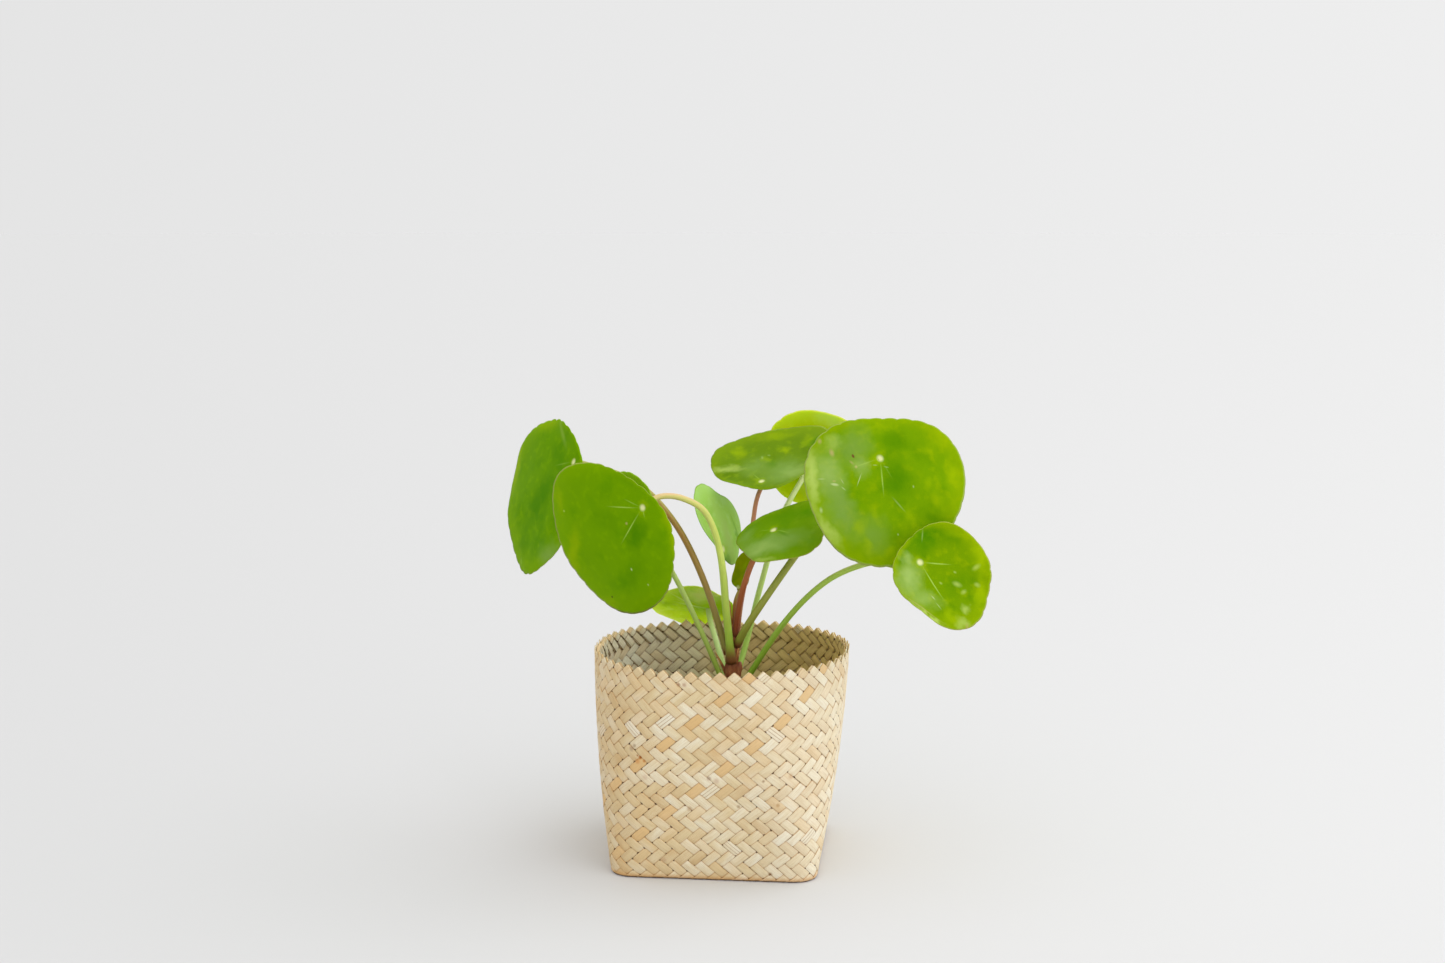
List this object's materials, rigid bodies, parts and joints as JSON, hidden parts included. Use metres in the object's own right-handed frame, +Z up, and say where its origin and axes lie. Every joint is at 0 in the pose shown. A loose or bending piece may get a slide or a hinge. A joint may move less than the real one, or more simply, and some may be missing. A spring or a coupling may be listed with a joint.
{
  "type": "potted pilea plant",
  "caption": "Potted pilea with round leaf blades on long stalks above a short dark trunk, rooted in a nursery pot that stands inside a woven palm-leaf basket.",
  "frame": {"origin": "centre of the basket's flat underside", "axes": "+Z up, +X to the plant's right and +Y to its back as seen in the picture's front view; the basket's flat lower sides are square to X and Y"},
  "size_m": [0.2681, 0.1685, 0.2378],
  "materials": {
    "palm_leaf_strip": "dry palm-leaf strips in a diagonal twill, straw-coloured with tan strips, satin",
    "pot_plastic": "thin black moulded plastic, matt",
    "potting_soil": "damp, dark and crumbly",
    "trunk_bark": "dark red-brown, ringed with leaf scars",
    "stalk_green": "smooth juicy stalk, light green, satin",
    "stalk_brown": "smooth juicy stalk, red-brown to olive, satin",
    "leaf_blade": "vivid green, satin, slightly translucent, paler underneath"
  },
  "bodies": {
    "root": {"woven_basket": "palm_leaf_strip", "grower_pot": "pot_plastic", "potting_soil": "potting_soil", "trunk": "trunk_bark", "stalk_far_left": "stalk_brown", "leaf_far_left": "leaf_blade", "stalk_front_left": "stalk_green", "leaf_front_left": "leaf_blade", "stalk_behind_front_left": "stalk_green", "leaf_behind_front_left": "leaf_blade", "stalk_low_back": "stalk_green", "leaf_low_back": "leaf_blade", "stalk_small_middle": "stalk_green", "leaf_small_middle": "leaf_blade", "stalk_youngest": "stalk_brown", "leaf_youngest": "leaf_blade", "stalk_middle": "stalk_brown", "leaf_middle": "leaf_blade", "stalk_upper_middle": "stalk_brown", "leaf_upper_middle": "leaf_blade", "stalk_top_back": "stalk_green", "leaf_top_back": "leaf_blade", "stalk_big_right": "stalk_green", "leaf_big_right": "leaf_blade", "stalk_far_right": "stalk_green", "leaf_far_right": "leaf_blade"}
  },
  "joints": []
}
